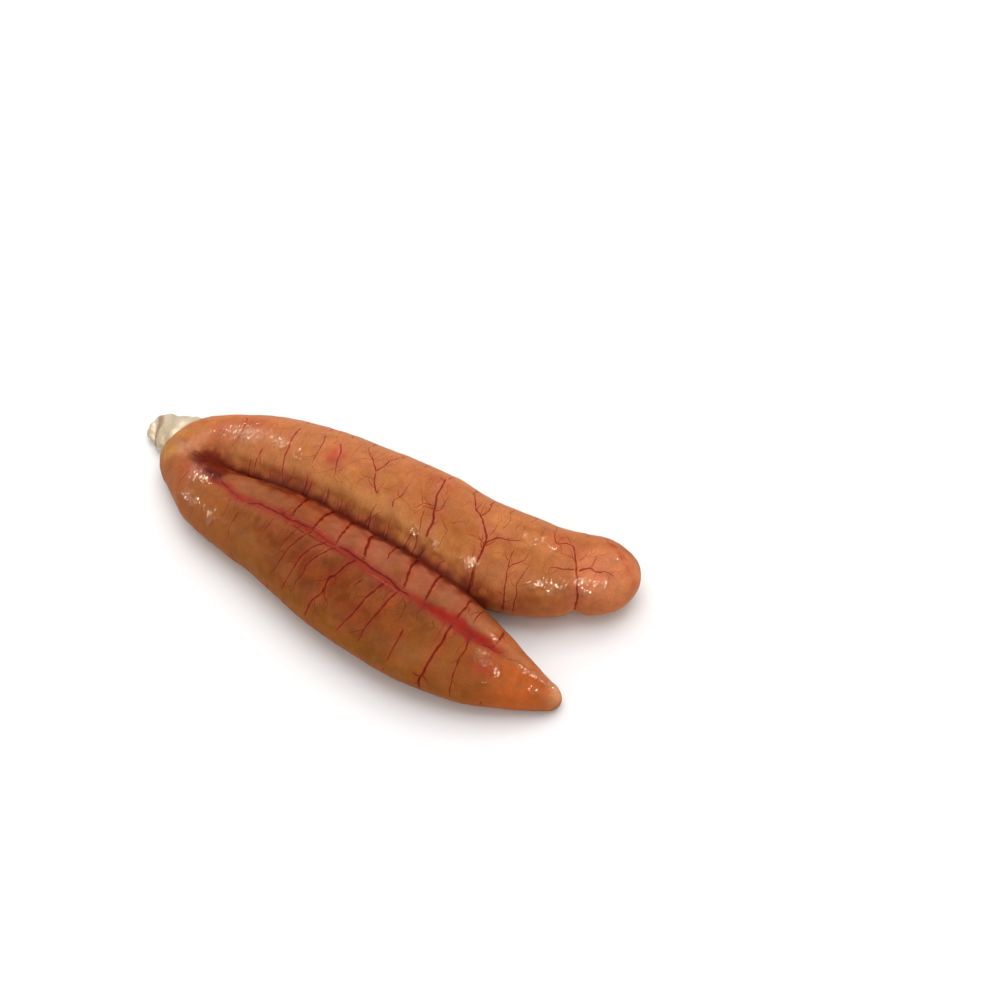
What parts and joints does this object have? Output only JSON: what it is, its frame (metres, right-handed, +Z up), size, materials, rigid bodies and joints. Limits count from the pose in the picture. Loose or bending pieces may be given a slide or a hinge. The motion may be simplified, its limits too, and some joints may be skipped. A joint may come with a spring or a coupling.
{
  "type": "fish roe pair",
  "caption": "Fresh fish roe: plump veined egg lobes grown together at the head, with a pale stump of the egg duct, lying flat on a surface.",
  "frame": {"origin": "under the middle of the whole pair, on the surface that it lies on", "axes": "+X from the joined head to the free tails, +Y towards the rounder lobe with the bulb at its end, +Z up"},
  "size_m": [0.1824, 0.0772, 0.0301],
  "materials": {
    "membrane": "wet, glossy egg membrane, tan orange with dark red vessels",
    "duct_tissue": "moist, cream coloured membrane"
  },
  "bodies": {
    "root": {"lobes": "membrane", "stump": "duct_tissue"}
  },
  "joints": []
}
